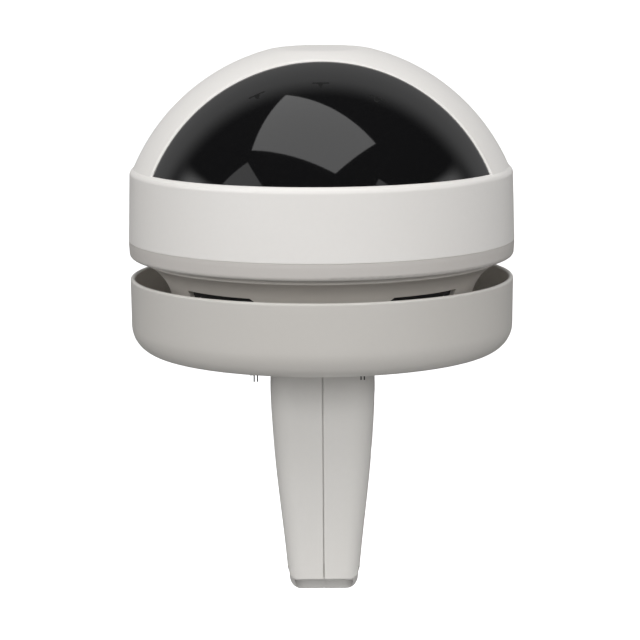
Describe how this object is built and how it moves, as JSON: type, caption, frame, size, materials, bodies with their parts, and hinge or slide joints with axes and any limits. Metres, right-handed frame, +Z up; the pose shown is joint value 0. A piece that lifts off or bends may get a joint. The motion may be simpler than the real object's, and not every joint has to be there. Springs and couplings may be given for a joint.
{
  "type": "pan and tilt dome camera",
  "caption": "Pan and tilt security camera: white dome head with a smoked window on a vented neck, splash bowl and tapered hollow arm.",
  "frame": {"origin": "centre of the pole socket's mouth, inside the arm's lower end", "axes": "+Z up along the pan axis, the window faces -Y, +X to the right seen from the front"},
  "size_m": [0.181, 0.181, 0.2626],
  "materials": {
    "white_shell": "satin",
    "white_arm": "satin",
    "ivory_shell": "satin",
    "grey_shell": "satin",
    "smoked_pane": "polished",
    "black_plastic": "matte",
    "rubber": "matte",
    "steel": "satin",
    "aluminium": "satin",
    "brass": "satin",
    "acetal": "satin",
    "motor_can": "satin",
    "board": "satin",
    "chips": "matte",
    "lens_glass": "polished"
  },
  "bodies": {
    "base": {"arm_left_half": "white_arm", "arm_right_half": "white_arm", "arm_screws": "steel", "arm_boss": "aluminium", "arm_boss_screws": "steel", "pole_socket": "aluminium", "pole_set_screw": "steel", "power_inlet": "black_plastic", "splash_bowl": "ivory_shell", "contact_blocks": "black_plastic", "contact_pins": "brass", "power_board": "board", "power_parts": "chips", "neck_shell": "ivory_shell", "vent_grilles": "black_plastic", "bearing_plate": "aluminium", "pan_spindle": "aluminium", "spindle_nut": "steel", "bearing_inner_race": "steel", "pan_ring_gear": "acetal", "slip_ring_stator": "black_plastic", "fan_frame": "black_plastic", "base_m3_screws": "steel", "base_small_screws": "steel"},
    "head": {"dome_cover": "white_shell", "smoked_window": "smoked_pane", "window_clips": "black_plastic", "window_gasket": "rubber", "head_tray": "grey_shell", "base_seal": "rubber", "head_screws": "steel", "bearing_outer_race": "steel", "turntable": "aluminium", "pan_motor_bracket": "aluminium", "pan_motor": "motor_can", "slip_ring_rotor": "black_plastic", "main_board": "board", "board_bracket": "aluminium", "board_parts": "chips", "yoke": "aluminium", "tilt_bushes": "acetal", "tilt_motor": "motor_can"},
    "camera": {"tilt_sector": "acetal", "block_front": "black_plastic", "block_rear": "black_plastic", "block_screws": "steel", "trunnions": "steel", "lens_barrel": "black_plastic", "lenses": "lens_glass", "sensor_board": "board", "led_board": "board", "ir_leds": "lens_glass", "filter_frame": "black_plastic"},
    "balls": {"bearing_balls": "steel"},
    "pan_pinion": {"pan_pinion": "brass"},
    "tilt_pinion": {"tilt_pinion": "brass"},
    "focus_ring": {"focus_ring": "black_plastic"},
    "zoom_ring": {"zoom_ring": "black_plastic"},
    "filter_slider": {"filter_slider": "black_plastic"},
    "fan_rotor": {"fan_rotor": "black_plastic"}
  },
  "joints": [
    {"name": "pan", "type": "hinge", "parent": "base", "child": "head", "pos_m": [0, 0, 0.1585], "axis": [0, 0, 1], "continuous": true},
    {"name": "ball_orbit", "type": "hinge", "parent": "base", "child": "balls", "pos_m": [0, 0, 0.1585], "axis": [0, 0, 1], "continuous": true},
    {"name": "pan_pinion_spin", "type": "hinge", "parent": "head", "child": "pan_pinion", "pos_m": [0, 0.05, 0.1655], "axis": [0, 0, 1], "continuous": true},
    {"name": "tilt", "type": "hinge", "parent": "head", "child": "camera", "pos_m": [0, -0.01, 0.206], "axis": [1, 0, 0], "range_deg": [-35, 30]},
    {"name": "tilt_pinion_spin", "type": "hinge", "parent": "head", "child": "tilt_pinion", "pos_m": [0.04165, 0.00835, 0.17979], "axis": [1, 0, 0], "range_deg": [-92, 107]},
    {"name": "focus_turn", "type": "hinge", "parent": "camera", "child": "focus_ring", "pos_m": [0, -0.03598, 0.221], "axis": [0, -0.866, 0.5], "range_deg": [-60, 60]},
    {"name": "zoom_turn", "type": "hinge", "parent": "camera", "child": "zoom_ring", "pos_m": [0, -0.03286, 0.2192], "axis": [0, -0.866, 0.5], "range_deg": [-45, 45]},
    {"name": "filter_slide", "type": "slide", "parent": "camera", "child": "filter_slider", "axis": [1, 0, 0], "range_m": [0, 0.008]},
    {"name": "fan_spin", "type": "hinge", "parent": "base", "child": "fan_rotor", "pos_m": [0, 0.042, 0.1419], "axis": [0, 0, 1], "continuous": true}
  ],
  "couplings": [
    {"joint": "ball_orbit", "follows": "pan", "ratio": 0.5387},
    {"joint": "pan_pinion_spin", "follows": "pan", "ratio": 4},
    {"joint": "tilt_pinion_spin", "follows": "tilt", "ratio": -3}
  ]
}
